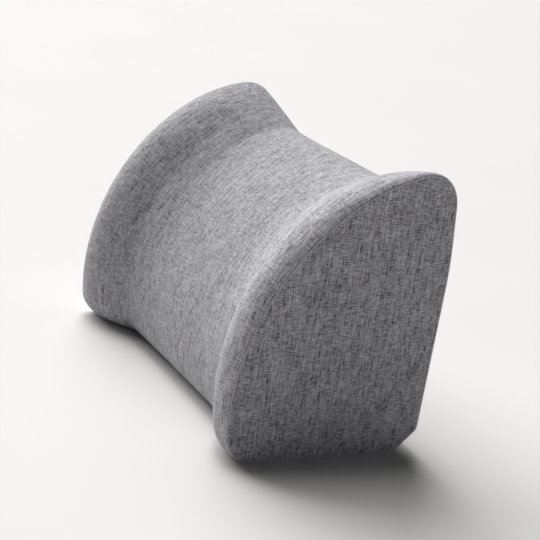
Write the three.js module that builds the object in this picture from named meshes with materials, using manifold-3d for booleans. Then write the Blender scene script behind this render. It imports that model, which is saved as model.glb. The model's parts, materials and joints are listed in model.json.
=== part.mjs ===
// Saddle-shaped kneeling and leg-rest cushion: a moulded foam block in a thin liner, inside a
// removable woven cover that closes with a coil zip low on its flat back.
// Millimetres. +Z is up, +X is along the width, the curved front faces -Y and the flat back +Y.
// The origin is on the floor, in the middle of the block.
import * as THREE from "three";
import { ParametricGeometry } from "three/addons/geometries/ParametricGeometry.js";
import { mergeVertices } from "three/addons/utils/BufferGeometryUtils.js";
import Module from "manifold-3d";

const wasm = await Module();
wasm.setup();

// ---- Driving dimensions of the cushion -------------------------------------------------------
const WIDTH = 400; // across the two end panels
const BASE_DEPTH = 210; // back plane to the front-bottom corner, before it is rounded
const HEIGHT = 289.5; // floor to the top-rear corner, before it is rounded
const BODY_MIDDLE = -109.6; // middle of the depth, bulge included, from the back plane
const HEEL = 23; // leg of the 45 degree chamfer where the back meets the base
const BEND_HEIGHT = 195; // the upright back leans forward above this height
const TOP_LEAN = 10.4; // how far it has leaned at the top
const FRONT_TILT = THREE.MathUtils.degToRad(17.6); // the front bulges out past the base corner
const TOP_TILT = THREE.MathUtils.degToRad(-6.8); // and the top rises ahead of the rear corner
const FRONT_REACH = 0.772; // pull of the big arc's two ends, as shares of the depth
const TOP_REACH = 0.66;
const FRONT_ROUND = 27; // rounding of the front-bottom corner, measured along its sides
const TOP_ROUND = 35; // rounding of the top-rear corner

// How three lines of the block are drawn in along the width: the front-bottom corner, the middle
// of the big arc and the top-rear corner. From the seam each line rises by `edge` over a rounded
// edge, then falls by `saddle` from the crest of the wing to the saddle floor, `wing` from the end.
const FRONT_HOLLOW = {
  edge: 1, edgeLength: 22, roundness: 0.42, saddle: 30, wing: 75, easeIn: 0.78, easeOut: 0.1,
};
const ARC_HOLLOW = {
  edge: 14, edgeLength: 45, roundness: 0.1, saddle: 15.5, wing: 144, easeIn: 0.6, easeOut: 0.34,
};
const TOP_HOLLOW = {
  edge: 1.6, edgeLength: 6, roundness: 0.85, saddle: 30, wing: 101, easeIn: 0.08, easeOut: 0.03,
};

// ---- Layers, from the outside in ---------------------------------------------------------------
const GAP = 0.3; // air between neighbouring pieces
const COVER = 1.5; // woven fabric with its laminated backing
const THREAD = 0.6; // lockstitch thread row, lying inside the seams
const THREAD_DEPTH = COVER + GAP;
const LINER_DEPTH = THREAD_DEPTH + THREAD + GAP;
const LINER = 0.6; // non-woven bag round the foam
const FOAM_DEPTH = LINER_DEPTH + LINER + GAP;

// ---- Zip ---------------------------------------------------------------------------------------
const ZIP_HEIGHT = 60; // centre line above the floor
const ZIP_LENGTH = 300;
const ZIP_OPENING = 11; // width of the slot in the cover
const TAPE_WIDTH = 14; // each of the two tapes
const TAPE = 0.6;
const TAPE_END = 8; // tape past each end of the coils
const COIL_WIDTH = 2.85;
const COIL_HEIGHT = 1.7;
const STOP_LENGTH = 1.8;
const SLIDER_LENGTH = 11;
const SLIDER_SHOULDER = 9.4; // width at the mouth
const SLIDER_TAIL = 8.8;
const SLIDER_PLATE = 1.2;
const SLIDER_REST = 141; // where the slider stands when the zip is closed
const BRIDGE_WIDTH = 2.2; // the loop on the slider that holds the pull
const BRIDGE_LENGTH = 9;
const BRIDGE_BAR = 1;
const PULL_THICKNESS = 1.2;
const PULL_WIDTH = 7;
const PULL_LENGTH = 26;
const PULL_EYE = 8; // length of the window that the bridge passes through
const PULL_RAIL = 1.6; // width of the two rails beside the window

// ---- Care label ----------------------------------------------------------------------------------
const LABEL = { width: 22, height: 32, thickness: 0.5, x: 184, z: 118 };

// ---- Solids and meshes -----------------------------------------------------------------------------
// The closed solid inside a geometry: shared corners merged and collapsed triangles dropped.
function solid(geometry) {
  const bare = geometry.clone();
  bare.deleteAttribute("normal");
  bare.deleteAttribute("uv");
  const merged = mergeVertices(bare, 1e-4);
  const kept = [];
  for (let i = 0; i < merged.index.count; i += 3) {
    const [a, b, c] = [0, 1, 2].map((k) => merged.index.getX(i + k));
    if (a !== b && b !== c && c !== a) kept.push(a, b, c);
  }
  return new wasm.Manifold(
    new wasm.Mesh({
      numProp: 3,
      vertProperties: new Float32Array(merged.attributes.position.array),
      triVerts: new Uint32Array(kept),
    }),
  );
}

// A named mesh of a solid, with its own material.
function piece(name, shape, finish) {
  const made = shape.getMesh();
  const geometry = new THREE.BufferGeometry();
  geometry.setAttribute("position", new THREE.BufferAttribute(made.vertProperties, made.numProp));
  geometry.setIndex(new THREE.BufferAttribute(made.triVerts, 1));
  const flat = geometry.toNonIndexed();
  flat.computeVertexNormals();
  const mesh = new THREE.Mesh(flat, new THREE.MeshStandardMaterial(finish));
  mesh.name = name;
  return mesh;
}

// A block between two opposite corners.
function block([x0, y0, z0], [x1, y1, z1]) {
  const box = new THREE.BoxGeometry(x1 - x0, y1 - y0, z1 - z0);
  return solid(box.translate((x0 + x1) / 2, (y0 + y1) / 2, (z0 + z1) / 2));
}

// A flat outline in X and Y, extruded upwards between two heights.
function plate(outline, low, high) {
  const options = { depth: high - low, bevelEnabled: false };
  return solid(new THREE.ExtrudeGeometry(new THREE.Shape(outline), options).translate(0, 0, low));
}

// A flat outline in X and Z, extruded from y = near back to y = far.
function wall(outline, near, far) {
  const options = { depth: far - near, bevelEnabled: false };
  const geometry = new THREE.ExtrudeGeometry(new THREE.Shape(outline), options);
  return solid(geometry.rotateX(Math.PI / 2).translate(0, far, 0));
}

// ---- The cushion's outer form --------------------------------------------------------------------
// A ramp from 0 to 1 whose slope rises over its first share, holds, and falls over its last share.
function ramp(t, easeIn, easeOut) {
  const total = 1 - (easeIn + easeOut) / 2;
  if (t <= 0) return 0;
  if (t >= 1) return 1;
  if (t < easeIn) return (t * t) / (2 * easeIn) / total;
  if (t > 1 - easeOut) return 1 - (1 - t) ** 2 / (2 * easeOut) / total;
  return (t - easeIn / 2) / total;
}

// How far one line is drawn in at a distance from the end panel.
function inset(hollow, fromEnd) {
  const { edge, edgeLength, roundness, saddle, wing, easeIn, easeOut } = hollow;
  const lap = roundness * Math.max(0, 1 - fromEnd / edgeLength);
  const rounded = (1 - Math.sqrt(1 - lap * lap)) / (1 - Math.sqrt(1 - roundness * roundness));
  const crest = edgeLength / 2;
  return edge * rounded + saddle * ramp((fromEnd - crest) / (wing - crest), easeIn, easeOut);
}

// The insets of all three lines at a distance from the end panel.
function drawnIn(fromEnd) {
  return {
    front: inset(FRONT_HOLLOW, fromEnd),
    arc: inset(ARC_HOLLOW, fromEnd),
    top: inset(TOP_HOLLOW, fromEnd),
  };
}

// The closed D-shaped section across the width, as points (y, z) with the back plane at y = 0.
function section(fromEnd) {
  const drawn = drawnIn(fromEnd);
  const front = new THREE.Vector2(-BASE_DEPTH + drawn.front, 0);
  const topZ = HEIGHT - drawn.top;
  const lean = (TOP_LEAN * (topZ - BEND_HEIGHT)) / (HEIGHT - BEND_HEIGHT);
  const top = new THREE.Vector2(-lean, topZ);
  const size = 1 - (drawn.front / BASE_DEPTH + drawn.top / HEIGHT) / 2;
  const rise = new THREE.Vector2(-Math.sin(FRONT_TILT), Math.cos(FRONT_TILT));
  const run = new THREE.Vector2(-Math.cos(TOP_TILT), -Math.sin(TOP_TILT));
  // Moving both handles moves the middle of the curve three quarters as far.
  const inward = new THREE.Vector2(1, -1).setLength(drawn.arc / 0.75);
  const arc = new THREE.CubicBezierCurve(
    front,
    front.clone().addScaledVector(rise, FRONT_REACH * BASE_DEPTH * size).add(inward),
    top.clone().addScaledVector(run, TOP_REACH * BASE_DEPTH * size).add(inward),
    top,
  );
  const length = arc.getLength();
  const bend = new THREE.Vector2(0, BEND_HEIGHT);
  const baseEnd = front.clone().add(new THREE.Vector2(FRONT_ROUND, 0));
  const backEnd = top.clone().add(bend.clone().sub(top).setLength(TOP_ROUND));
  const points = [new THREE.Vector2(-HEEL, 0)];
  const corner = (from, at, to, steps) =>
    new THREE.QuadraticBezierCurve(from, at, to).getPoints(steps);
  points.push(...corner(baseEnd, front, arc.getPointAt(FRONT_ROUND / length), 5));
  const arcSteps = 15;
  for (let i = 1; i < arcSteps; i++) {
    const along = FRONT_ROUND + ((length - FRONT_ROUND - TOP_ROUND) * i) / arcSteps;
    points.push(arc.getPointAt(along / length));
  }
  points.push(...corner(arc.getPointAt(1 - TOP_ROUND / length), top, backEnd, 5));
  points.push(bend, new THREE.Vector2(0, HEEL));
  return points;
}

// A closed outline moved inwards by a depth, its corners mitred.
function shrink(points, depth) {
  const count = points.length;
  const sideNormal = (i) => {
    const side = points[(i + 1) % count].clone().sub(points[i % count]).normalize();
    return new THREE.Vector2(side.y, -side.x);
  };
  return points.map((point, i) => {
    const before = sideNormal(i + count - 1);
    const after = sideNormal(i);
    const mitre = before.clone().add(after).divideScalar(1 + before.dot(after));
    return point.clone().addScaledVector(mitre, depth);
  });
}

// Distances from an end panel at which the section is drawn, close together near the seam.
function stationDistances() {
  const edgeSteps = 7;
  const crowding = 1.7; // above 1, the steps crowd towards the seam
  const distances = [];
  for (let i = 0; i <= edgeSteps; i++) {
    distances.push(ARC_HOLLOW.edgeLength * (i / edgeSteps) ** crowding);
  }
  const { edgeLength, wing, easeOut } = FRONT_HOLLOW;
  const frontTurn = wing - easeOut * (wing - edgeLength / 2);
  const turns = [ARC_HOLLOW.edgeLength, frontTurn, wing, TOP_HOLLOW.wing, ARC_HOLLOW.wing];
  for (let i = 1; i < turns.length; i++) {
    if (i !== 2) distances.push((turns[i - 1] + turns[i]) / 2);
    distances.push(turns[i]);
  }
  return distances;
}

// The whole closed form, moved inwards by a depth on every side.
function form(depth) {
  const inner = stationDistances().filter((distance) => distance > depth + 0.2);
  const distances = [depth, ...inner];
  const stations = [
    ...distances.map((distance) => [-WIDTH / 2 + distance, distance]),
    ...distances.map((distance) => [WIDTH / 2 - distance, distance]).reverse(),
  ];
  const rings = stations.map(([x, fromEnd]) =>
    shrink(section(fromEnd), depth).map(({ x: y, y: z }) => new THREE.Vector3(x, y, z)),
  );
  // Each end is closed by a ring that has shrunk to one point in the middle of its panel.
  const middle = (ring) =>
    ring.map(() => new THREE.Vector3(ring[0].x, BODY_MIDDLE, HEIGHT / 2));
  rings.unshift(middle(rings[0]));
  rings.push(middle(rings[rings.length - 1]));
  const across = rings.length - 1;
  const round = rings[0].length;
  const surface = (u, v, target) =>
    target.copy(rings[Math.round(u * across)][Math.round(v * round) % round]);
  return solid(new ParametricGeometry(surface, across, round));
}

// ---- Regions that part the cover into its panels -----------------------------------------------
const FAR = 1000;

// Everything within the width, short of each end by a distance.
function between(fromEnd) {
  const half = WIDTH / 2 - fromEnd;
  return block([-half, -FAR, -FAR], [half, FAR, FAR]);
}

// A row of points across the width that follows the wings and the saddle.
function acrossWidth(value) {
  const distances = stationDistances();
  const left = distances.map((d) => new THREE.Vector2(-WIDTH / 2 + d, value(drawnIn(d))));
  const right = distances.map((d) => new THREE.Vector2(WIDTH / 2 - d, value(drawnIn(d))));
  return [...left, ...right.reverse()];
}

// The band of the base between two distances in from the front-bottom seam, which follows the wings.
function baseBand(fromSeam, toSeam, heelLine) {
  const seam = (shift) =>
    acrossWidth((drawn) => -BASE_DEPTH + drawn.front + FRONT_ROUND + shift);
  const near = seam(fromSeam);
  const far =
    heelLine === undefined
      ? seam(toSeam).reverse()
      : [new THREE.Vector2(WIDTH / 2, heelLine), new THREE.Vector2(-WIDTH / 2, heelLine)];
  return plate([...near, ...far], -1, 2 * THREAD_DEPTH);
}

// The part of the upright back from a height up to the top seam, which follows the wings.
function backBand(low, belowSeam, thickness) {
  const seam = (shift) =>
    acrossWidth((drawn) => HEIGHT - drawn.top - TOP_ROUND + shift).reverse();
  const bottom =
    low === undefined
      ? seam(belowSeam - thickness).reverse()
      : [new THREE.Vector2(-WIDTH / 2, low), new THREE.Vector2(WIDTH / 2, low)];
  return wall([...bottom, ...seam(belowSeam)], -HEEL, FRONT_ROUND);
}

// The lower back and its heel chamfer, below a height.
function heelBlock(grow, top) {
  return block([-WIDTH, -HEEL - grow, -1], [WIDTH, FRONT_ROUND, top]);
}

// ---- Finishes ----------------------------------------------------------------------------------
const WOVEN = { color: 0x8d8c90, roughness: 0.94, metalness: 0 };
const WOVEN_END = { color: 0x7c7b7e, roughness: 0.95, metalness: 0 };
const GRIP = { color: 0x3f4043, roughness: 0.85, metalness: 0 };
const FOAM = { color: 0xe9dfc4, roughness: 0.97, metalness: 0 };
const NON_WOVEN = { color: 0xf0efec, roughness: 0.9, metalness: 0 };
const THREAD_GREY = { color: 0x5d5c60, roughness: 0.8, metalness: 0 };
const TAPE_GREY = { color: 0x6a696d, roughness: 0.85, metalness: 0 };
const NYLON = { color: 0x55555a, roughness: 0.45, metalness: 0 };
const ZINC = { color: 0x9a9ca1, roughness: 0.35, metalness: 1 };
const LABEL_WHITE = { color: 0xf4f3ef, roughness: 0.7, metalness: 0 };

const cushion = new THREE.Group();
cushion.position.y = -BODY_MIDDLE;

// ---- Filling -------------------------------------------------------------------------------------
function addFilling() {
  cushion.add(piece("foam_core", form(FOAM_DEPTH), FOAM));
  const slit = block(
    [-ZIP_LENGTH / 2, -HEEL, ZIP_HEIGHT - 1],
    [ZIP_LENGTH / 2, FRONT_ROUND, ZIP_HEIGHT + 1],
  );
  const bag = form(LINER_DEPTH).subtract(form(LINER_DEPTH + LINER)).subtract(slit);
  cushion.add(piece("inner_liner", bag, NON_WOVEN));
}

// ---- Cover panels --------------------------------------------------------------------------------
function addCover() {
  const outer = form(0);
  const skin = outer.subtract(form(COVER)).intersect(between(COVER + GAP));
  const zipSlot = block(
    [-ZIP_LENGTH / 2, -HEEL, ZIP_HEIGHT - ZIP_OPENING / 2],
    [ZIP_LENGTH / 2, FRONT_ROUND, ZIP_HEIGHT + ZIP_OPENING / 2],
  );
  const upper = skin.intersect(backBand(ZIP_HEIGHT + GAP / 2, 0)).subtract(zipSlot);
  const lower = skin.intersect(heelBlock(0, ZIP_HEIGHT - GAP / 2)).subtract(zipSlot);
  const base = skin.intersect(baseBand(0, 0, -HEEL - GAP));
  const front = skin
    .subtract(backBand(0, GAP))
    .subtract(heelBlock(GAP, ZIP_HEIGHT))
    .subtract(baseBand(-GAP, 0, -HEEL));
  cushion.add(piece("cover_front", front, WOVEN));
  cushion.add(piece("cover_back_upper", upper, WOVEN));
  cushion.add(piece("cover_back_lower", lower, WOVEN));
  cushion.add(piece("cover_base", base, GRIP));
  for (const [name, sign] of [["left", -1], ["right", 1]]) {
    const ends = [WIDTH / 2 - COVER, WIDTH].map((x) => x * sign).sort((a, b) => a - b);
    const slab = block([ends[0], -FAR, -FAR], [ends[1], FAR, FAR]);
    cushion.add(piece("cover_end_" + name, outer.intersect(slab), WOVEN_END));
  }
}

// ---- Seam threads, inside the cover just under each seam ----------------------------------------
function addSeamThreads() {
  const layer = form(THREAD_DEPTH).subtract(form(THREAD_DEPTH + THREAD));
  const row = THREAD_DEPTH + THREAD + 3 * GAP; // distance of an end seam's row from its panel
  for (const [name, sign] of [["left", -1], ["right", 1]]) {
    const ends = [WIDTH / 2 - row, WIDTH / 2 - row + THREAD].map((x) => x * sign);
    ends.sort((a, b) => a - b);
    const slab = block([ends[0], -FAR, -FAR], [ends[1], FAR, FAR]);
    cushion.add(piece("seam_thread_end_" + name, layer.intersect(slab), THREAD_GREY));
  }
  const rows = layer.intersect(between(row + GAP));
  const top = rows.intersect(backBand(undefined, 0, THREAD));
  const front = rows.intersect(baseBand(0, THREAD));
  const heel = rows.intersect(block([-WIDTH, -HEEL - THREAD, -1], [WIDTH, -HEEL, HEEL / 2]));
  cushion.add(piece("seam_thread_top", top, THREAD_GREY));
  cushion.add(piece("seam_thread_front", front, THREAD_GREY));
  cushion.add(piece("seam_thread_heel", heel, THREAD_GREY));
}

// ---- Zip -----------------------------------------------------------------------------------------
const TAPE_FACE = -THREAD_DEPTH; // outer face of the tapes, behind the cover
const COIL_FOOT = TAPE_FACE + GAP;
const COIL_TOP = COIL_FOOT + COIL_HEIGHT;
const PLATE_FOOT = COIL_TOP + GAP;
const PLATE_TOP = PLATE_FOOT + SLIDER_PLATE;
const PIVOT_Y = PLATE_TOP + GAP + PULL_THICKNESS / 2;
const BRIDGE_FOOT = PIVOT_Y + PULL_THICKNESS / 2 + GAP;

// A flat outline in Y and Z, extruded along X between two places.
function bar(outline, from, to) {
  const options = { depth: to - from, bevelEnabled: false };
  const geometry = new THREE.ExtrudeGeometry(new THREE.Shape(outline), options);
  const [x, y, z] = [0, 1, 2].map((axis) => new THREE.Vector3().setComponent(axis, 1));
  const turn = new THREE.Matrix4().makeBasis(y, z, x);
  return solid(geometry.translate(0, 0, from).applyMatrix4(turn));
}

// One half of the coil chain: a bar with a rounded shoulder, its flat foot over its tape.
function coilHalf(side) {
  const at = (out, across) => new THREE.Vector2(COIL_FOOT + out, ZIP_HEIGHT + side * across);
  const near = GAP / 2;
  const far = near + COIL_WIDTH;
  const shoulder = COIL_HEIGHT / 2;
  const round = new THREE.QuadraticBezierCurve(
    at(shoulder, far),
    at(COIL_HEIGHT, far),
    at(COIL_HEIGHT, far - shoulder),
  );
  const outline = [at(0, near), at(0, far), ...round.getPoints(4), at(COIL_HEIGHT, near)];
  const reach = ZIP_LENGTH / 2 - STOP_LENGTH - GAP;
  return bar(outline, -reach, reach);
}

function addZipChain() {
  for (const [name, side] of [["upper", 1], ["lower", -1]]) {
    const span = (from, to) =>
      [from, to].map((z) => ZIP_HEIGHT + side * z).sort((a, b) => a - b);
    const tapeZ = span(GAP / 2, GAP / 2 + TAPE_WIDTH);
    const tapeX = ZIP_LENGTH / 2 + TAPE_END;
    const tape = block([-tapeX, TAPE_FACE - TAPE, tapeZ[0]], [tapeX, TAPE_FACE, tapeZ[1]]);
    cushion.add(piece("zip_tape_" + name, tape, TAPE_GREY));
    const coilZ = span(GAP / 2, GAP / 2 + COIL_WIDTH);
    cushion.add(piece("zip_coil_" + name, coilHalf(side), NYLON));
    const clip = block(
      [ZIP_LENGTH / 2 - STOP_LENGTH, COIL_FOOT, coilZ[0]],
      [ZIP_LENGTH / 2, COIL_TOP + GAP, coilZ[1]],
    );
    cushion.add(piece("zip_top_stop_" + name, clip, ZINC));
    const stitchZ = span(ZIP_OPENING / 2 + 2, ZIP_OPENING / 2 + 2 + THREAD);
    const stitchX = ZIP_LENGTH / 2 + TAPE_END / 2;
    const stitch = block([-stitchX, GAP, stitchZ[0]], [stitchX, GAP + THREAD, stitchZ[1]]);
    cushion.add(piece("zip_topstitch_" + name, stitch, THREAD_GREY));
  }
  const half = GAP / 2 + COIL_WIDTH;
  const staple = block(
    [-ZIP_LENGTH / 2, COIL_FOOT, ZIP_HEIGHT - half],
    [-ZIP_LENGTH / 2 + STOP_LENGTH, COIL_TOP + GAP, ZIP_HEIGHT + half],
  );
  cushion.add(piece("zip_bottom_stop", staple, ZINC));
}

// ---- Slider and pull -----------------------------------------------------------------------------
function addSlider() {
  const half = SLIDER_LENGTH / 2;
  const [tail, shoulder] = [SLIDER_TAIL / 2, SLIDER_SHOULDER / 2];
  const at = (x, z) => new THREE.Vector2(SLIDER_REST + x, ZIP_HEIGHT + z);
  // The top plate: square at the tail, widest behind its rounded nose.
  const nose = new THREE.QuadraticBezierCurve(
    at(half * 0.4, shoulder),
    at(half * 1.6, 0),
    at(half * 0.4, -shoulder),
  );
  const outline = [at(-half, -tail), at(-half, tail), ...nose.getPoints(8)];
  let slider = wall(outline, PLATE_FOOT, PLATE_TOP);
  // A flange down each side holds the coils together.
  const inside = GAP / 2 + COIL_WIDTH + GAP;
  for (const side of [1, -1]) {
    const z = [inside, tail].map((value) => ZIP_HEIGHT + side * value).sort((a, b) => a - b);
    const flange = block(
      [SLIDER_REST - half, COIL_FOOT, z[0]],
      [SLIDER_REST + half * 0.4, (PLATE_FOOT + PLATE_TOP) / 2, z[1]],
    );
    slider = slider.add(flange);
  }
  // The bridge: an arch along the slider that the pull's end bar passes under.
  const reach = BRIDGE_LENGTH / 2;
  const root = (PLATE_FOOT + PLATE_TOP) / 2;
  const crown = BRIDGE_FOOT + BRIDGE_BAR;
  const arch = [
    [-reach, root],
    [-reach, BRIDGE_FOOT],
    [-reach + BRIDGE_BAR, crown],
    [reach - BRIDGE_BAR, crown],
    [reach, BRIDGE_FOOT],
    [reach, root],
    [reach - BRIDGE_BAR, root],
    [reach - BRIDGE_BAR, BRIDGE_FOOT],
    [-reach + BRIDGE_BAR, BRIDGE_FOOT],
    [-reach + BRIDGE_BAR, root],
  ].map(([x, y]) => new THREE.Vector2(SLIDER_REST + x, y));
  const bridge = plate(arch, ZIP_HEIGHT - BRIDGE_WIDTH / 2, ZIP_HEIGHT + BRIDGE_WIDTH / 2);
  cushion.add(piece("zip_slider", slider.add(bridge), ZINC));
}

function addPull() {
  const half = PULL_WIDTH / 2;
  const round = PULL_WIDTH / 2;
  const at = (x, z) => new THREE.Vector2(SLIDER_REST - x, ZIP_HEIGHT + z);
  const outline = [at(0, half)];
  const tipSteps = 10;
  for (let i = 0; i <= tipSteps; i++) {
    const angle = (i / tipSteps - 0.5) * Math.PI;
    outline.push(at(PULL_LENGTH - round + round * Math.cos(angle), -round * Math.sin(angle)));
  }
  outline.push(at(0, -half));
  const [back, face] = [PIVOT_Y - PULL_THICKNESS / 2, PIVOT_Y + PULL_THICKNESS / 2];
  const eye = half - PULL_RAIL;
  const window = block(
    [SLIDER_REST - PULL_EYE, back - 1, ZIP_HEIGHT - eye],
    [SLIDER_REST + 1, face + 1, ZIP_HEIGHT + eye],
  );
  const pin = new THREE.CylinderGeometry(PULL_THICKNESS / 2, PULL_THICKNESS / 2, PULL_WIDTH, 12);
  pin.rotateX(Math.PI / 2).translate(SLIDER_REST, PIVOT_Y, ZIP_HEIGHT);
  const pull = wall(outline, back, face).subtract(window).add(solid(pin));
  cushion.add(piece("zip_pull", pull, ZINC));
}

function addCareLabel() {
  const { width, height, thickness, x, z } = LABEL;
  const flap = block(
    [x - width / 2, GAP, z - height / 2],
    [x + width / 2, GAP + thickness, z + height / 2],
  );
  cushion.add(piece("care_label", flap, LABEL_WHITE));
}

addFilling();
addCover();
addSeamThreads();
addZipChain();
addSlider();
addPull();
addCareLabel();

export default cushion;
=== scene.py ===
"""Looks of a saddle-shaped kneeling cushion: woven cover, coil zip, grip base and care label.

Everything is in metres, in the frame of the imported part: +Z up, the curved front towards -Y,
the flat back towards +Y and the two D-shaped end panels at -X and +X.
"""

import json  # noqa: E402
import logging  # noqa: E402
import math  # noqa: E402
from collections.abc import Callable  # noqa: E402
from dataclasses import dataclass, field  # noqa: E402
from enum import Enum  # noqa: E402

import bpy  # noqa: E402
import numpy as np  # noqa: E402
from mathutils import Matrix, Vector  # noqa: E402

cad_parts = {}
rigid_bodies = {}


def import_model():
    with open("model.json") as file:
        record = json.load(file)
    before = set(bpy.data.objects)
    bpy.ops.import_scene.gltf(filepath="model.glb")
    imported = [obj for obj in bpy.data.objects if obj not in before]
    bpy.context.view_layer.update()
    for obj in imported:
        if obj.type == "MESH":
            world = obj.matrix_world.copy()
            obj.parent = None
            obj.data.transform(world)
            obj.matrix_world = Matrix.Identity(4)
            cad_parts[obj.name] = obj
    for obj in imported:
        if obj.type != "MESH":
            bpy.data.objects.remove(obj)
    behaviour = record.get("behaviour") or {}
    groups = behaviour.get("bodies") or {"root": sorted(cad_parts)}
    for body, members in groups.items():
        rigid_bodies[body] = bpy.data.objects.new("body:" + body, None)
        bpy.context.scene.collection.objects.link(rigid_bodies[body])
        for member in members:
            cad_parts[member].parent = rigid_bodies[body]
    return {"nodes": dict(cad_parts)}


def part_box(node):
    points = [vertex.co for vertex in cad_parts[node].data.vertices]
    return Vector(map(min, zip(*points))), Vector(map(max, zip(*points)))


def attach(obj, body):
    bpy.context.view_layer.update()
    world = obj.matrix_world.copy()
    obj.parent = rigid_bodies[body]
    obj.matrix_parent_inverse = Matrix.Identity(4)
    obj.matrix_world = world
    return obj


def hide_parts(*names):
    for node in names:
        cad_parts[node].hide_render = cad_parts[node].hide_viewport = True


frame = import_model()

log = logging.getLogger("cushion")
MM = 0.001
BODY = "cushion"
UV_NAME = "cloth"


# ---------------------------------------------------------------------------------------------
# Small tools
# ---------------------------------------------------------------------------------------------
def linear(code: str) -> tuple[float, float, float, float]:
    """Turns an sRGB hex colour into linear light.

    Args:
        code: Six hex digits, with or without a leading hash.

    Returns:
        Linear red, green and blue, and an alpha of 1.
    """
    values = [int(code.lstrip("#")[i : i + 2], 16) / 255 for i in (0, 2, 4)]
    r, g, b = (v / 12.92 if v <= 0.04045 else ((v + 0.055) / 1.055) ** 2.4 for v in values)
    return r, g, b, 1.0


def node(
    tree: bpy.types.NodeTree, kind: str, settings: dict | None = None, **inputs: object
) -> bpy.types.Node:
    """Adds one shader node, sets it up and links it.

    Args:
        tree: The material's node tree.
        kind: The node's type without the leading "ShaderNode".
        settings: Attributes of the node itself.
        **inputs: Values, output sockets or nodes whose first output is meant, by input name
            with _ for a space, or by number as in0, in1, ...

    Returns:
        The new node.
    """
    made = tree.nodes.new("ShaderNode" + kind)
    for name, value in (settings or {}).items():
        setattr(made, name, value)
    for name, value in inputs.items():
        key = int(name[2:]) if name[:2] == "in" and name[2:].isdigit() else name.replace("_", " ")
        if isinstance(value, bpy.types.Node):
            value = value.outputs[0]
        if isinstance(value, bpy.types.NodeSocket):
            tree.links.new(value, made.inputs[key])
        else:
            made.inputs[key].default_value = value
    return made


def deselect() -> None:
    """Deselects every object, so that an operator acts only on what is chosen next."""
    for other in bpy.context.view_layer.objects:
        other.select_set(False)


def choose(piece: bpy.types.Object) -> None:
    """Makes one object the only selected and active one.

    Args:
        piece: The object to select.
    """
    deselect()
    piece.select_set(True)
    bpy.context.view_layer.objects.active = piece


def apply_modifiers(piece: bpy.types.Object) -> None:
    """Applies every modifier of a piece in order.

    Args:
        piece: The piece whose modifiers are applied.
    """
    choose(piece)
    for modifier in list(piece.modifiers):
        bpy.ops.object.modifier_apply(modifier=modifier.name)


def settle(piece: bpy.types.Object) -> None:
    """Puts a piece's place into its mesh, so that its object sits unturned at the origin."""
    choose(piece)
    bpy.ops.object.transform_apply(location=True, rotation=True, scale=True)


def recalculate(piece: bpy.types.Object) -> None:
    """Merges doubled vertices and turns all faces the same way.

    Args:
        piece: The piece to clean.
    """
    choose(piece)
    bpy.ops.object.mode_set(mode="EDIT")
    bpy.ops.mesh.select_all(action="SELECT")
    bpy.ops.mesh.remove_doubles(threshold=1e-6)
    bpy.ops.mesh.normals_make_consistent(inside=False)
    bpy.ops.object.mode_set(mode="OBJECT")


def smooth(piece: bpy.types.Object, angle: float = 180.0) -> None:
    """Shades a piece smooth, except across its sharp edges.

    Args:
        piece: The piece to shade.
        angle: Angle in degrees above which an edge stays sharp, or 180 to keep none sharp.
    """
    choose(piece)
    if angle >= 180:
        bpy.ops.object.shade_smooth()
    else:
        bpy.ops.object.shade_smooth_by_angle(angle=math.radians(angle))


def join(name: str, pieces: list[bpy.types.Object]) -> bpy.types.Object:
    """Joins several objects into the first and names it.

    Args:
        name: Name of the joined piece.
        pieces: Objects to join.

    Returns:
        The joined object.
    """
    choose(pieces[0])
    for piece in pieces:
        piece.select_set(True)
    bpy.ops.object.join()
    pieces[0].name = name
    pieces[0].data.name = name
    return pieces[0]


def ramp(t: np.ndarray | float, ease_in: float, ease_out: float) -> np.ndarray:
    """Ramp from 0 to 1 whose slope rises over its first share, holds, and falls over its last.

    Args:
        t: Position along the ramp.
        ease_in: Share over which the slope rises.
        ease_out: Share over which it falls.

    Returns:
        The ramp's height at t.
    """
    t = np.clip(t, 0.0, 1.0)
    total = 1 - (ease_in + ease_out) / 2
    start = t * t / (2 * ease_in)
    middle = t - ease_in / 2
    end = total - (1 - t) ** 2 / (2 * ease_out)
    return np.where(t < ease_in, start, np.where(t > 1 - ease_out, end, middle)) / total


def smoothstep(value: np.ndarray, low: float, high: float) -> np.ndarray:
    """Eases a value from 0 at low to 1 at high."""
    t = np.clip((value - low) / (high - low), 0.0, 1.0)
    return t * t * (3 - 2 * t)


def unit(vectors: np.ndarray) -> np.ndarray:
    """Scales vectors in the last axis to unit length."""
    return vectors / np.maximum(np.linalg.norm(vectors, axis=-1, keepdims=True), 1e-12)


def along(points: np.ndarray) -> np.ndarray:
    """Distance of each point of a line from its first point."""
    steps = np.linalg.norm(np.diff(points, axis=0), axis=1)
    return np.concatenate([[0.0], np.cumsum(steps)])


def resample(points: np.ndarray, places: np.ndarray) -> np.ndarray:
    """Points of a line at given distances along it."""
    length = along(points)
    return np.stack([np.interp(places, length, points[:, k]) for k in range(points.shape[1])], 1)


def graded(length: float, step: float, near: tuple[float, ...]) -> np.ndarray:
    """Places along a length, close together at both ends and a step apart between.

    Args:
        length: The whole length.
        step: Spacing away from the ends.
        near: Distances from each end that are also taken.

    Returns:
        Rising distances from 0 to the length.
    """
    inner = np.linspace(near[-1], length - near[-1], max(2, round((length - 2 * near[-1]) / step)))
    ends = np.array(near[:-1])
    return np.concatenate([ends, inner, length - ends[::-1]])


# ---------------------------------------------------------------------------------------------
# Finishes
# ---------------------------------------------------------------------------------------------
# what an input of a node is linked from
Feed = bpy.types.Node | bpy.types.NodeSocket


class Weave(Enum):
    """How strongly the yarns of the cover cloth differ from one another.

    The two strengths are painted light and shade: the stronger one copies how the shaded panels
    look, and the weaker one copies how the lit front looks, with its yarns washed out by the light.
    The dark base also takes the weaker one.
    """

    # painted shade and light: stronger yarn contrast for the shaded panels, weaker for the lit front
    PANEL = 0.85
    STRETCHED = 0.75


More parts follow.
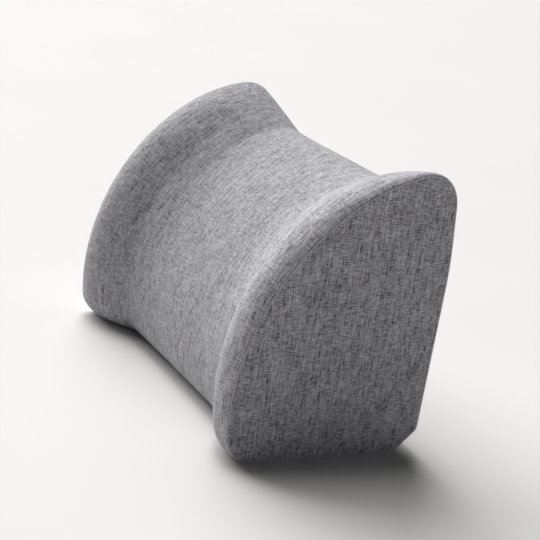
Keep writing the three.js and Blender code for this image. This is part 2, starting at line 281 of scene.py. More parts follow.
class Op(Enum):
    """Settings of the arithmetic nodes that a weave is made of."""

    ADD = {"operation": "ADD"}
    SUBTRACT = {"operation": "SUBTRACT"}
    TIMES = {"operation": "MULTIPLY"}
    TIMES_PLUS = {"operation": "MULTIPLY_ADD"}
    POWER = {"operation": "POWER"}
    WHOLE = {"operation": "FLOOR"}
    PART = {"operation": "FRACT"}
    TURN_BACK = {"operation": "PINGPONG"}
    SCALE = {"operation": "SCALE"}


@dataclass(frozen=True)
class LinenLookCloth:
    """Heather polyester plain weave in a linen look, woven from uneven melange yarns.

    The eye sees a soft matt grey broken by short dark and pale threads in both directions,
    with a faint dusty sheen at grazing angles. The warp, which runs up the panels, is the more
    uneven of the two. The yarns are drawn 1.25 mm apart, as in the coarsest cloths of this
    sort, because finer ones would blur to one even grey.
    """

    name: str
    weave: Weave
    dark: str = "#3b3a3d"
    middle: str = "#a5a4a9"
    light: str = "#e2e1e6"
    yarn: float = 1.25 * MM
    warp_length: float = 20 * MM
    weft_length: float = 8 * MM
    slub_length: float = 15 * MM
    patch: float = 40 * MM
    yarn_contrast: float = 1.9
    warp_slub: float = 0.28
    weft_slub: float = 0.14
    slub_from: float = 0.60
    slub_full: float = 0.70
    patch_contrast: float = 0.10
    # painted shade and light: the colour darkens in the gaps between the yarns and lightens on their
    # crowns
    gap_shade_contrast: float = 0.30
    gap_shade_level: float = 0.6
    tone: float = 0.53
    relief: float = 0.3 * MM
    roughness: float = 0.95
    sheen: float = 0.12
    shift: float = 0.0
    warp_seed: float = 3.17
    weft_seed: float = 41.53
    warp_slub_seed: float = 87.1
    weft_slub_seed: float = 133.9

    def drawn_out(
        self, tree: bpy.types.NodeTree, index: Feed, place: Feed, length: float, seed: float
    ) -> bpy.types.Node:
        """Adds noise that differs from yarn to yarn and drifts along each.

        Args:
            tree: Node tree to build in.
            index: Node or socket with the yarn's number.
            place: Node or socket with the place along the yarn in yarn widths.
            length: Length over which the noise drifts.
            seed: Shift of the pattern, so that no two layers agree.

        Returns:
            The noise node, whose values lie round 0.5.
        """
        yarn_to_yarn = 7.31
        seed_to_start = 0.7
        start = seed_to_start * seed + self.shift
        across = node(tree, "Math", Op.TIMES_PLUS.value, in0=index, in1=yarn_to_yarn, in2=seed)
        run = node(
            tree, "Math", Op.TIMES_PLUS.value, in0=place, in1=self.yarn / length, in2=start
        )
        vector = node(tree, "CombineXYZ", None, X=across, Y=run)
        plane = {"noise_dimensions": "2D"}
        return node(tree, "TexNoise", plane, Vector=vector, Scale=1.0, Detail=2.0, Roughness=0.6)

    @staticmethod
    def bulge(tree: bpy.types.NodeTree, place: Feed) -> bpy.types.Node:
        """Adds the round profile across one yarn: 0 at its sides and 1 in its middle.

        Args:
            tree: Node tree to build in.
            place: Node or socket with the place across the yarns in yarn widths.

        Returns:
            The last node of the profile.
        """
        part = node(tree, "Math", Op.PART.value, in0=place)
        side = node(tree, "Math", Op.TIMES_PLUS.value, in0=part, in1=2.0, in2=-1.0)
        square = node(tree, "Math", Op.POWER.value, in0=side, in1=2.0)
        return node(tree, "Math", Op.SUBTRACT.value, in0=1.0, in1=square)

    def build(self) -> bpy.types.Material:
        """Makes the material.

        Returns:
            The new material.
        """
        material = bpy.data.materials.new(self.name)
        material.use_nodes = True
        tree = material.node_tree
        shader = tree.nodes["Principled BSDF"]
        strength = self.weave.value
        uv = node(tree, "UVMap", {"uv_map": UV_NAME})
        scaled = node(tree, "VectorMath", Op.SCALE.value, in0=uv, Scale=1 / self.yarn)
        split = node(tree, "SeparateXYZ", None, Vector=scaled)
        across, upward = split.outputs["X"], split.outputs["Y"]
        column = node(tree, "Math", Op.WHOLE.value, in0=across)
        row = node(tree, "Math", Op.WHOLE.value, in0=upward)

        # plain weave: warp and weft lie on top in turn, like the squares of a chessboard
        count = node(tree, "Math", Op.ADD.value, in0=column, in1=row)
        warp_on_top = node(tree, "Math", Op.TURN_BACK.value, in0=count, in1=1.0)
        warp = self.drawn_out(tree, column, upward, self.warp_length, self.warp_seed)
        weft = self.drawn_out(tree, row, across, self.weft_length, self.weft_seed)
        yarn = node(tree, "Mix", None, Factor=warp_on_top, A=weft.outputs[0], B=warp.outputs[0])
        contrast = self.yarn_contrast * strength
        tone = node(
            tree, "Math", Op.TIMES_PLUS.value,
            in0=yarn, in1=contrast, in2=self.tone - contrast / 2,
        )

        # slubs: now and then a yarn runs thick and dark for a short way
        for index, place, seed, amount in (
            (column, upward, self.warp_slub_seed, self.warp_slub),
            (row, across, self.weft_slub_seed, self.weft_slub),
        ):
            noise = self.drawn_out(tree, index, place, self.slub_length, seed)
            slub = node(
                tree, "MapRange", None,
                Value=noise, From_Min=self.slub_from, From_Max=self.slub_full,
            )
            tone = node(
                tree, "Math", Op.TIMES_PLUS.value,
                in0=slub, in1=-amount * strength, in2=tone,
            )
        cloud = node(tree, "TexNoise", None, Vector=uv, Scale=1 / self.patch, Detail=1.0)
        cloud = node(tree, "Math", Op.SUBTRACT.value, in0=cloud, in1=0.5)
        tone = node(
            tree, "Math", Op.TIMES_PLUS.value,
            in0=cloud, in1=self.patch_contrast * strength, in2=tone,
        )

        # round yarns, whose height also paints shade into the gaps between them and light onto their
        # crowns
        wide, high = self.bulge(tree, across), self.bulge(tree, upward)
        crossing = node(tree, "Math", Op.TIMES.value, in0=wide, in1=high)
        ridge = node(tree, "Mix", None, Factor=warp_on_top, A=high.outputs[0], B=wide.outputs[0])
        height = node(tree, "Math", Op.ADD.value, in0=ridge, in1=crossing)
        height = node(tree, "Math", Op.TIMES.value, in0=height, in1=0.5)
        # painted shade: darker where the yarns dip into their gaps, lighter on their crowns
        gap_shade = node(tree, "Math", Op.SUBTRACT.value, in0=height, in1=self.gap_shade_level)
        tone = node(
            tree, "Math", Op.TIMES_PLUS.value, in0=gap_shade, in1=self.gap_shade_contrast, in2=tone
        )
        colours = node(tree, "ValToRGB", None, Fac=tone)
        stops = colours.color_ramp
        stops.elements[0].position, stops.elements[0].color = 0.0, linear(self.dark)
        stops.elements[1].position, stops.elements[1].color = 1.0, linear(self.light)
        stops.elements.new(0.5).color = linear(self.middle)
        tree.links.new(colours.outputs["Color"], shader.inputs["Base Color"])
        bump = node(tree, "Bump", None, Height=height, Distance=self.relief, Strength=0.6)
        tree.links.new(bump.outputs["Normal"], shader.inputs["Normal"])
        shader.inputs["Roughness"].default_value = self.roughness
        shader.inputs["IOR"].default_value = 1.5
        shader.inputs["Specular IOR Level"].default_value = 0.2
        shader.inputs["Sheen Weight"].default_value = self.sheen
        shader.inputs["Sheen Roughness"].default_value = 0.5
        return material


@dataclass(frozen=True)
class PlainFinish:
    """A finish of one colour, broken by fine noise of a real grain size.

    It covers the small parts: die-cast zinc, drawn nylon, spun thread, moulded silicone,
    foam and non-woven liner. The eye sees an even colour with a slight grain.
    """

    name: str
    colour: str
    other: str
    grain: float
    roughness: float
    metallic: float = 0.0
    ior: float = 1.5
    relief: float = 0.0
    stretch: tuple[float, float, float] = (1.0, 1.0, 1.0)
    sheen: float = 0.0

    def build(self) -> bpy.types.Material:
        """Makes the material.

        Returns:
            The new material.
        """
        material = bpy.data.materials.new(self.name)
        material.use_nodes = True
        tree = material.node_tree
        shader = tree.nodes["Principled BSDF"]
        place = node(tree, "TexCoord").outputs["Object"]
        scale = tuple(s / self.grain for s in self.stretch)
        mapped = node(tree, "Mapping", None, Vector=place, Scale=scale).outputs[0]
        noise = node(tree, "TexNoise", None, Vector=mapped, Scale=1.0, Detail=3.0).outputs["Fac"]
        colours = node(tree, "ValToRGB", None, Fac=noise)
        stops = colours.color_ramp
        stops.elements[0].position, stops.elements[0].color = 0.3, linear(self.other)
        stops.elements[1].position, stops.elements[1].color = 0.7, linear(self.colour)
        tree.links.new(colours.outputs[0], shader.inputs["Base Color"])
        if self.relief:
            bump = node(tree, "Bump", None, Height=noise, Distance=self.relief, Strength=1.0)
            tree.links.new(bump.outputs[0], shader.inputs["Normal"])
        shader.inputs["Roughness"].default_value = self.roughness
        shader.inputs["Metallic"].default_value = self.metallic
        shader.inputs["IOR"].default_value = self.ior
        shader.inputs["Sheen Weight"].default_value = self.sheen
        return material


def dress(piece: bpy.types.Object, finish: LinenLookCloth | PlainFinish) -> None:
    """Gives a piece one finish in place of whatever it had, making its material once.

    Args:
        piece: The piece to dress.
        finish: Its finish.
    """
    material = bpy.data.materials.get(finish.name) or finish.build()
    piece.data.materials.clear()
    piece.data.materials.append(material)


def mount(piece: bpy.types.Object, body: str, slot: str, *nodes: str) -> bpy.types.Object:
    """Puts a finished piece on its body.

    Args:
        piece: The finished piece.
        body: Name of the body it rides on.
        slot: The record's material slot; not used.
        *nodes: CAD nodes that the piece stands for.

    Returns:
        The piece.
    """
    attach(piece, body)
    if nodes:
        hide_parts(*nodes)
    log.info("%s: %d faces on %s", piece.name, len(piece.data.polygons), body)
    return piece


# ---------------------------------------------------------------------------------------------
# The cushion's form
# ---------------------------------------------------------------------------------------------
@dataclass(frozen=True)
class Hollow:
    """How one line of the block is drawn in along the width, from an end seam to the middle.

    The line first rises from the seam over a rounded edge to the crest of the wing, then it
    falls into the saddle.
    """

    edge: float
    edge_length: float
    roundness: float
    saddle: float
    wing: float
    ease_in: float
    ease_out: float

    def inset(self, from_end: float) -> float:
        """How far the line is drawn in.

        Args:
            from_end: Distance from the nearer end panel.

        Returns:
            The distance that the line lies inside the block's full outline.
        """
        lap = self.roundness * max(0.0, 1 - from_end / self.edge_length)
        edge = (1 - math.sqrt(1 - lap * lap)) / (1 - math.sqrt(1 - self.roundness**2))
        crest = self.edge_length / 2
        t = (from_end - crest) / (self.wing - crest)
        return self.edge * edge + self.saddle * float(ramp(t, self.ease_in, self.ease_out))


@dataclass(frozen=True)
class CushionForm:
    """Outer form of the block: a D-shaped section that is drawn in between its two end wings.

    Sections are in the plane of Y and Z, with the back plane at y = 0 and the front negative.
    The front-bottom corner, the middle of the big arc and the top-rear corner are each drawn
    in along the width by a hollow of their own.
    """

    width: float
    back_y: float
    height: float = 289.5 * MM
    base_depth: float = 210 * MM
    heel: float = 23 * MM
    heel_soft: float = 4 * MM
    bend_height: float = 195 * MM
    bend_soft: float = 24 * MM
    top_lean: float = 10.4 * MM
    front_tilt: float = math.radians(17.6)
    top_tilt: float = math.radians(-6.8)
    front_reach: float = 0.772
    top_reach: float = 0.66
    front_round: float = 27 * MM
    top_round: float = 35 * MM
    middle_y: float = -95 * MM
    middle_z: float = 130 * MM
    front: Hollow = Hollow(1 * MM, 22 * MM, 0.42, 30 * MM, 75 * MM, 0.78, 0.1)
    arc: Hollow = Hollow(14 * MM, 45 * MM, 0.1, 15.5 * MM, 144 * MM, 0.6, 0.34)
    top: Hollow = Hollow(1.6 * MM, 6 * MM, 0.85, 30 * MM, 101 * MM, 0.08, 0.03)

    def place(self, x: np.ndarray, section: np.ndarray) -> np.ndarray:
        """Points of the part's frame from section points at given x."""
        return np.stack([x, section[..., 0] + self.back_y, section[..., 1]], -1)

    @staticmethod
    def turn(start: np.ndarray, corner: np.ndarray, end: np.ndarray, count: int) -> np.ndarray:
        """A rounded corner between two points, as a quadratic curve."""
        t = np.linspace(0, 1, count)[:, None]
        return (1 - t) ** 2 * start + 2 * (1 - t) * t * corner + t * t * end

    def corners(self, from_end: float) -> tuple[np.ndarray, np.ndarray, np.ndarray]:
        """The front-bottom corner, the top-rear corner and the big arc between them.

        Args:
            from_end: Distance from the nearer end panel.

        Returns:
            The two corners, and the arc as a line of many points.
        """
        inset_front, inset_top = self.front.inset(from_end), self.top.inset(from_end)
        front = np.array([-self.base_depth + inset_front, 0.0])
        top_z = self.height - inset_top
        lean = self.top_lean * (top_z - self.bend_height) / (self.height - self.bend_height)
        top = np.array([-lean, top_z])
        size = 1 - (inset_front / self.base_depth + inset_top / self.height) / 2
        rise = np.array([-math.sin(self.front_tilt), math.cos(self.front_tilt)])
        run = np.array([-math.cos(self.top_tilt), -math.sin(self.top_tilt)])
        # the two inner control points carry three quarters of the arc's middle
        carried = 0.75
        inward = np.array([1, -1]) / math.sqrt(2) * self.arc.inset(from_end) / carried
        second = front + rise * self.front_reach * self.base_depth * size + inward
        third = top + run * self.top_reach * self.base_depth * size + inward
        t = np.linspace(0, 1, 500)[:, None]
        arc = (
            (1 - t) ** 3 * front
            + 3 * (1 - t) ** 2 * t * second
            + 3 * (1 - t) * t * t * third
            + t**3 * top
        )
        return front, top, arc

    def back_line(self, from_end: float) -> np.ndarray:
        """The back from the top-rear seam down to the heel, its bend and folds softened.

        Args:
            from_end: Distance from the nearer end panel.

        Returns:
            The line's points in Y and Z.
        """
        _, top, _ = self.corners(from_end)
        bend = np.array([0.0, self.bend_height])
        down = (bend - top) / np.linalg.norm(bend - top)
        seam = top + down * self.top_round
        above = bend - down * self.bend_soft
        below = bend - np.array([0, self.bend_soft])
        fold = np.array([0.0, self.heel])
        slope = np.array([-1, -1]) / math.sqrt(2)
        foot = np.array([-self.heel, 0.0])
        soft = self.heel_soft
        parts = [
            [seam],
            self.turn(above, bend, below, 12),
            self.turn(fold + [0, soft], fold, fold + slope * soft, 8),
            self.turn(foot - slope * soft, foot, foot + [-soft, 0], 8),
        ]
        return np.vstack(parts)

    def front_line(self, from_end: float) -> np.ndarray:
        """The front from the base seam round the big arc to the top-rear seam.

        Args:
            from_end: Distance from the nearer end panel.

        Returns:
            The line's points in Y and Z.
        """
        front, top, arc = self.corners(from_end)
        whole = along(arc)[-1]
        places = np.linspace(self.front_round, whole - self.top_round, 260)
        middle = resample(arc, places)
        bend = np.array([0.0, self.bend_height])
        seam = top + (bend - top) / np.linalg.norm(bend - top) * self.top_round
        start = front + [self.front_round, 0]
        return np.vstack(
            [
                self.turn(start, front, middle[0], 60)[:-1],
                middle,
                self.turn(middle[-1], top, seam, 60)[1:],
            ]
        )

    def ring(self, count: int) -> tuple[np.ndarray, np.ndarray, np.ndarray]:
        """The closed outline of an end panel in even steps.

        Args:
            count: Number of steps; the last point is the first again.

        Returns:
            The points, their outward directions and their distances along the outline.
        """
        whole = np.vstack([self.front_line(0.0), self.back_line(0.0)[1:]])
        whole = np.vstack([whole, whole[:1]])
        length = np.linspace(0, along(whole)[-1], count + 1)
        ring = resample(whole, length)
        closed = np.concatenate([ring[-2:-1], ring, ring[1:2]])
        tangent = unit(closed[2:] - closed[:-2])
        outward = np.stack([-tangent[:, 1], tangent[:, 0]], -1)
        facing = (ring[0] - ring.mean(0)) @ outward[0]
        return ring, outward * np.sign(facing), length


@dataclass
class SeamRoll:
    """How cloth rolls over into a plain seam, and the small puckers that the stitches pull."""

    radius: float = 2.0 * MM
    tuck: float = 1.2 * MM
    pucker: float = 0.28
    stitch: float = 7.5 * MM
    drift_stitches: float = 3.7
    drift_phase: float = 1.3
    near: tuple[float, ...] = tuple(v * MM for v in (0, 0.12, 0.35, 0.7, 1.15, 1.7, 2.6, 4.0))
    end_tilt: float = math.radians(42)
    end_share: float = 0.7
    setback: float = 0.6 * MM
    setback_length: float = 3.5 * MM
    turn_reach: float = 1.6
    front_blend: float = 0.3

    def depth(self, distance: np.ndarray, length: np.ndarray) -> np.ndarray:
        """Depth of the rolled cloth below the panel's face.

        Args:
            distance: Distance from the seam across the cloth.
            length: Distance along the seam, which places the puckers.

        Returns:
            The depth, which is 0 beyond the roll.
        """
        wave = np.sin(length * 2 * math.pi / self.stitch)
        drift_length = self.stitch * self.drift_stitches
        drift = np.sin(length * 2 * math.pi / drift_length + self.drift_phase)
        radius = self.radius * (1 + self.pucker * (0.5 * wave + 0.5 * drift))
        t = np.clip(1 - distance / radius, 0, 1)
        return self.radius * (1 - np.sqrt(1 - t * t))

    def seam_normal(self, outward: np.ndarray, side: float) -> np.ndarray:
        """Direction out of an end seam, halfway between the two panels that it joins.

        Args:
            outward: Outward directions of the end panel's outline in Y and Z.
            side: +1 for the right end and -1 for the left.

        Returns:
            Unit vectors in X, Y and Z.
        """
        forward = outward @ np.array([-math.sqrt(0.5), math.sqrt(0.5)])
        tilt = self.end_tilt * smoothstep(forward, -self.front_blend, self.front_blend)
        normal = np.stack(
            [
                side * (1 + np.sin(tilt)),
                np.cos(tilt) * outward[..., 0],
                np.cos(tilt) * outward[..., 1],
            ],
            -1,
        )
        return unit(normal)


@dataclass
class Patch:
    """One panel of cloth as a grid of points, with its flat coordinates.

    points and pattern run over columns and rows. Where the panel wraps, its last row is its
    first again.
    """

    name: str
    points: np.ndarray
    pattern: np.ndarray
    wraps: bool = False

    def normals(self) -> np.ndarray:
        """Unit normals of the grid.

        Returns:
            One normal for each point, pointing out of the cushion.
        """
        across = np.gradient(self.points, axis=0)
        if self.wraps:
            grown = np.concatenate([self.points[:, -2:-1], self.points, self.points[:, 1:2]], 1)
            run = (grown[:, 2:] - grown[:, :-2]) / 2
        else:
            run = np.gradient(self.points, axis=1)
        return unit(np.cross(across, run))

    def mesh(self, name: str) -> bpy.types.Object:
        """Makes the grid an object with its flat coordinates as a UV map.

        Args:
            name: Name of the object.

        Returns:
            The new object, linked to the scene.
        """
        columns, rows = self.points.shape[:2]
        corner = np.arange(columns * rows).reshape(columns, rows)
        quads = np.stack(
            [corner[:-1, :-1], corner[1:, :-1], corner[1:, 1:], corner[:-1, 1:]], -1
        ).reshape(-1, 4)
        data = bpy.data.meshes.new(name)
        data.from_pydata(self.points.reshape(-1, 3).tolist(), [], quads.tolist())
        layer = data.uv_layers.new(name=UV_NAME)
        flat = self.pattern.reshape(-1, 2)[quads.reshape(-1)]
        layer.data.foreach_set("uv", flat.astype(np.float32).ravel())
        made = bpy.data.objects.new(name, data)
        bpy.context.scene.collection.objects.link(made)
        return made


@dataclass
class Padding:
    """Swells a panel over its foam by cloth simulation, pinned along its seams.

    The panel is simulated as a coarse sheet under a light pressure without gravity. Its
    movement is scaled down as a whole, so that its farthest point moves by a chosen length,
    and is carried over to the panel's fine grid.
    """

    pressure: float = 4.0
    frames: int = 16
    every: int = 3
    slack: float = 0.012
    mass: float = 0.15

    def coarse(self, count: int) -> np.ndarray:
        """Indices of every few points of a line, with both its ends."""
        return np.unique(np.append(np.arange(0, count, self.every), count - 1))

    def sheet(self, patch: Patch, held: np.ndarray) -> bpy.types.Object:
        """Makes the coarse sheet with its cloth settings.

        Args:
            patch: The panel's coarse grid.
            held: Whether each point is held by a seam.

        Returns:
            The sheet, with its held points in a vertex group.
        """
        points = patch.points[:, :-1] if patch.wraps else patch.points
        held = held[:, :-1] if patch.wraps else held
        columns, rows = points.shape[:2]
        corner = np.arange(columns * rows).reshape(columns, rows)
        if patch.wraps:
            corner = np.concatenate([corner, corner[:, :1]], 1)
        quads = np.stack([corner[:-1, :-1], corner[1:, :-1], corner[1:, 1:], corner[:-1, 1:]], -1)
        data = bpy.data.meshes.new("padding")
        data.from_pydata(points.reshape(-1, 3).tolist(), [], quads.reshape(-1, 4).tolist())
        made = bpy.data.objects.new("padding", data)
        bpy.context.scene.collection.objects.link(made)
        group = made.vertex_groups.new(name="seam")
        group.add(np.flatnonzero(held).tolist(), 1.0, "REPLACE")
        cloth = made.modifiers.new("padding", "CLOTH")
        cloth.settings.vertex_group_mass = group.name
        cloth.settings.mass = self.mass
        cloth.settings.shrink_min = -self.slack
        cloth.settings.use_pressure = True
        cloth.settings.uniform_pressure_force = self.pressure
        cloth.settings.effector_weights.gravity = 0.0
        cloth.collision_settings.use_collision = False
        cloth.collision_settings.use_self_collision = False
        cloth.point_cache.frame_end = self.frames
        return made

    def swell(self, patch: Patch, held: np.ndarray, cap: float) -> Patch:
        """Moves a panel's points out as the simulated sheet does.

        Args:
            patch: The panel's fine grid.
            held: Whether each of its points is held by a seam.
            cap: How far the farthest point moves.

        Returns:
            The swollen panel.
        """
        columns, rows = (self.coarse(count) for count in held.shape)
        corner = np.ix_(columns, rows)
        start = Patch("padding", patch.points[corner], patch.pattern[corner], patch.wraps)
        sheet = self.sheet(start, held[corner])
        for frame_number in range(1, self.frames + 1):
            bpy.context.scene.frame_set(frame_number)
        apply_modifiers(sheet)
        ended = np.zeros(len(sheet.data.vertices) * 3)
        sheet.data.vertices.foreach_get("co", ended)
        bpy.data.objects.remove(sheet, do_unlink=True)
        bpy.context.scene.frame_set(1)
        ended = ended.reshape(len(columns), -1, 3)
        if patch.wraps:
            ended = np.concatenate([ended, ended[:, :1]], 1)
        moved = ((ended - start.points) * start.normals()).sum(-1)
        log.info("padding moves %.1f to %.1f mm", moved.min() / MM, moved.max() / MM)
        moved = moved * min(1.0, cap / np.abs(moved).max())
        moved = np.array([np.interp(np.arange(held.shape[1]), rows, line) for line in moved])
        moved = np.array([np.interp(np.arange(held.shape[0]), columns, line) for line in moved.T])
        points = patch.points + patch.normals() * np.where(held, 0.0, moved.T)[..., None]
        return Patch(patch.name, points, patch.pattern, patch.wraps)


@dataclass
class Cover:
    """The removable cover: front, two ends, upper and lower back, and the grip base."""

    form: CushionForm
    roll: SeamRoll
    zip_height: float
    zip_half: float
    slot_half: float
    step: float = 2.6 * MM
    cloth: float = 1.2 * MM
    crown: float = 1.0 * MM
    base_lift: float = 0.5 * MM
    front_swell: float = 1.2 * MM
    back_swell: float = 0.6 * MM
    end_swell: float = 1.2 * MM
    edge_near: tuple[float, ...] = tuple(v * MM for v in (5.2, 6.5, 8, 10, 12, 14))
    slot_taper: float = 4 * MM
    slot_clear: float = 1 * MM
    padding: Padding = field(default_factory=Padding)

    def columns(self) -> np.ndarray:
        """X of the grid's columns, close together at both end seams and on the edge rounding."""
        fine = self.roll.near + self.edge_near
        return graded(self.form.width, self.step, fine) - self.form.width / 2

    def from_end(self, x: float) -> float:
        """Distance of a column from the nearer end panel."""
        return self.form.width / 2 - abs(x)

    def strip(self, name: str, line: Callable[[float], np.ndarray], length: float) -> Patch:
        """A panel that runs from end seam to end seam.

        Args:
            name: Name of the panel.
            line: Function of x that gives the section line of the panel.
            length: Its usual length along the section.

        Returns:
            The panel's grid, lying on the form, before its seams are rolled in.
        """
        xs = self.columns()
        shares = graded(length, self.step, self.roll.near) / length
        grid = []
        for x in xs:
            section = line(float(x))
            grid.append(resample(section, shares * along(section)[-1]))
        section = np.array(grid)
        points = self.form.place(np.repeat(xs[:, None], len(shares), 1), section)
        pattern = self.flattened(points)
        pattern[..., 1] += shares * length
        return Patch(name, points, pattern)

    @staticmethod
    def flattened(points: np.ndarray) -> np.ndarray:
        """How far each point lies across and along the cloth from the middle column's.

        Args:
            points: A strip's grid.

        Returns:
            The two distances of each point, so that the yarns run on evenly where rows slip.
        """
        steps = np.diff(points, axis=0)
        run = unit(np.gradient(points, axis=1))
        slip = (steps * unit(run[:-1] + run[1:])).sum(-1)
        across = np.sqrt(np.maximum((steps**2).sum(-1) - slip**2, 0))
        flat = np.cumsum(np.stack([across, slip], -1), axis=0)
        flat = np.concatenate([np.zeros_like(flat[:1]), flat])
        return flat - flat[len(flat) // 2]

    def held(self, patch: Patch) -> np.ndarray:
        """Whether each point of a strip is held by the seams round it.

        Args:
            patch: The strip's grid.

        Returns:
            True on the columns and rows next to the seams, and False between them.
        """
        edge = len(self.roll.near)
        held = np.ones(patch.points.shape[:2], bool)
        held[edge:-edge, edge:-edge] = False
        return held

    def roll_strip(self, patch: Patch, swell: float = 0.0) -> Patch:
        """Swells a strip, rolls its four edges into their seams and adds the hidden tuck.

        Args:
            patch: A panel from strip().
            swell: The farthest that its padding may move it.

        Returns:
            The panel with its rolled and tucked edges.
        """
        if swell:
            patch = self.padding.swell(patch, self.held(patch), swell)
        points, pattern = patch.points, patch.pattern
        normals = patch.normals()
        steps = np.linalg.norm(np.diff(points, axis=0), axis=2)
        from_left = np.concatenate([np.zeros((1, points.shape[1])), np.cumsum(steps, 0)])
        steps = np.linalg.norm(np.diff(points, axis=1), axis=2)
        from_low = np.concatenate([np.zeros((points.shape[0], 1)), np.cumsum(steps, 1)], 1)
        from_right = from_left[-1:] - from_left
        from_high = from_low[:, -1:] - from_low
        moved = points.copy()
        out = normals.copy()
        reach = self.roll.radius * self.roll.turn_reach
        for side, distance, index in ((-1, from_left, 0), (1, from_right, -1)):
            flat = unit(np.gradient(points[index][:, 1:], axis=0))
            outward = np.stack([-flat[:, 1], flat[:, 0]], -1)
            seam = self.roll.seam_normal(outward * self.winding(points[index]), side)
            share = 1 - smoothstep(distance, 0, reach)
            direction = unit(normals * (1 - share[..., None]) + seam[None] * share[..., None])
            moved -= direction * self.roll.depth(distance, from_low)[..., None]
            out[index] = seam
        for distance in (from_low, from_high):
            moved -= normals * self.roll.depth(distance, from_left)[..., None]
        return self.tucked(patch, moved, pattern, out)

    def winding(self, line: np.ndarray) -> float:
        """Which side of an edge line is outside.

        Args:
            line: Points of a strip's left or right edge.

        Returns:
            +1 if the line's left-hand normal points out of the cushion, else -1.
        """
        middle = line[len(line) // 2]
        step = line[len(line) // 2 + 1] - middle
        left = np.array([-step[2], step[1]])
        centre = np.array([0.0, self.form.middle_z])
        return 1.0 if (middle[1:] - centre) @ left > 0 else -1.0

    def tucked(self, patch: Patch, moved: np.ndarray, pattern: np.ndarray, out: np.ndarray) -> Patch:
        """Adds one more row and column all round, drawn down into the seam.

        Args:
            patch: The panel, for its name.
            moved: Its rolled grid.
            pattern: Its flat coordinates.
            out: Direction out of the seam at each point.

        Returns:
            The panel with its hidden edges.
        """
        deep = moved - out * self.roll.tuck
        rows = np.concatenate([deep[:, :1], moved, deep[:, -1:]], 1)
        flat = np.concatenate([pattern[:, :1], pattern, pattern[:, -1:]], 1)
        low = rows[:1] - out[:1][:, [0, *range(out.shape[1]), -1]] * self.roll.tuck
        high = rows[-1:] - out[-1:][:, [0, *range(out.shape[1]), -1]] * self.roll.tuck
        points = np.concatenate([low, rows, high])
        flat = np.concatenate([flat[:1], flat, flat[-1:]])
        return Patch(patch.name, points, flat)

    def front(self) -> Patch:
        """The front panel, from the base seam over the saddle to the top-rear seam.

        Returns:
            The panel's grid, before its seams are rolled in.
        """
        behind_wing = 60 * MM
        length = along(self.form.front_line(behind_wing))[-1]
        return self.strip("front", lambda x: self.form.front_line(self.from_end(x)), length)

    def slot(self, x: float) -> float:
        """Half the opening between the two back panels: wide over the zip, closed past it."""
        wide = self.zip_half - self.slot_taper
        return self.slot_half * (1 - float(smoothstep(np.array(abs(x)), wide, self.zip_half)))

    def back_upper(self) -> Patch:
        """The upper back panel, from the top-rear seam down to the zip.

        Returns:
            The panel's grid, before its seams are rolled in.
        """

        def line(x: float) -> np.ndarray:
            """Section line of the panel.

            Args:
                x: Place along the width.

            Returns:
                The line's points in Y and Z.
            """
            whole = self.form.back_line(self.from_end(x))
            end = self.zip_height + self.slot(x)
            kept = whole[whole[:, 1] > end + self.slot_clear]
            return np.vstack([kept, [0.0, end]])

        return self.strip("back_upper", line, along(line(0.0))[-1])

    def back_lower(self) -> Patch:
        """The lower back panel, from the zip down over the heel to the base seam.

        Returns:
            The panel's grid, before its seams are rolled in.
        """

        def line(x: float) -> np.ndarray:
            """Section line of the panel.

            Args:
                x: Place along the width.

            Returns:
                The line's points in Y and Z.
            """
            whole = self.form.back_line(self.from_end(x))
            start = self.zip_height - self.slot(x)
            kept = whole[whole[:, 1] < start - self.slot_clear]
            return np.vstack([[0.0, start], kept])

        return self.strip("back_lower", line, along(line(0.0))[-1])

    def base(self) -> Patch:
        """The base panel, flat between the heel seam and the front seam.

        Returns:
            The panel's grid, before its seams are rolled in.
        """
        count = 30

        def line(x: float) -> np.ndarray:
            """Section line of the panel.

            Args:
                x: Place along the width.

            Returns:
                The line's points in Y and Z.
            """
            inset = self.form.front.inset(self.from_end(x))
            heel = -self.form.heel - self.form.heel_soft
            front = -self.form.base_depth + inset + self.form.front_round
            places = np.linspace(heel, front, count)
            return np.stack([places, np.full(count, self.base_lift)], -1)

        return self.strip("base", line, along(line(0.0))[-1])

    def end(self, side: float) -> Patch:
        """An end panel: rings from its outline in to the middle, slightly crowned.

        Args:
            side: +1 for the right end and -1 for the left.

        Returns:
            The panel with its rolled and tucked edge.
        """
        count, rings = 420, 30
        innermost = 0.004
        last_offset = 5.5 * MM
        ring, outward, length = self.form.ring(count)
        seam = self.roll.seam_normal(outward, side)
        centre = np.array([self.form.middle_y, self.form.middle_z])
        offsets = (*self.roll.near, last_offset)
        rows, pattern = [], []
        for offset in offsets:
            near = 1 - float(smoothstep(np.array(offset), 0, self.roll.setback_length))
            flat = ring - outward * (offset + self.roll.setback * near)
            depth = self.roll.depth(np.full(count + 1, offset), length) * self.roll.end_share
            rows.append(self.form.place(side * (self.form.width / 2 - depth), flat))
            pattern.append(flat)
        inner = ring - outward * offsets[-1]
        shares = np.append(np.linspace(1, 0, rings)[1:-1], innermost)
        for share in shares:
            flat = centre + (inner - centre) * share
            bulge = self.crown * (1 - share**3) ** 2
            x = np.full(count + 1, side * (self.form.width / 2 + bulge))
            rows.append(self.form.place(x, flat))
            pattern.append(flat)
        first = rows[0] - seam * self.roll.tuck
        points = np.array([first, *rows])
        flat = np.array([pattern[0], *pattern])
        if side < 0:
            points, flat = points[::-1], flat[::-1]
        patch = Patch("end", points, flat, wraps=True)
        held = np.zeros(points.shape[:2], bool)
        edge = len(offsets) + 1
        held[-edge if side < 0 else 0 : None if side < 0 else edge] = True
        patch = self.padding.swell(patch, held, self.end_swell)
        inner, place = (0, 0) if side < 0 else (-1, len(points))
        pole = patch.points[inner, :-1].mean(0)
        points = np.insert(patch.points, place, pole, axis=0)
        flat = np.insert(patch.pattern, place, centre, axis=0)
        return Patch("end", points, flat, wraps=True)

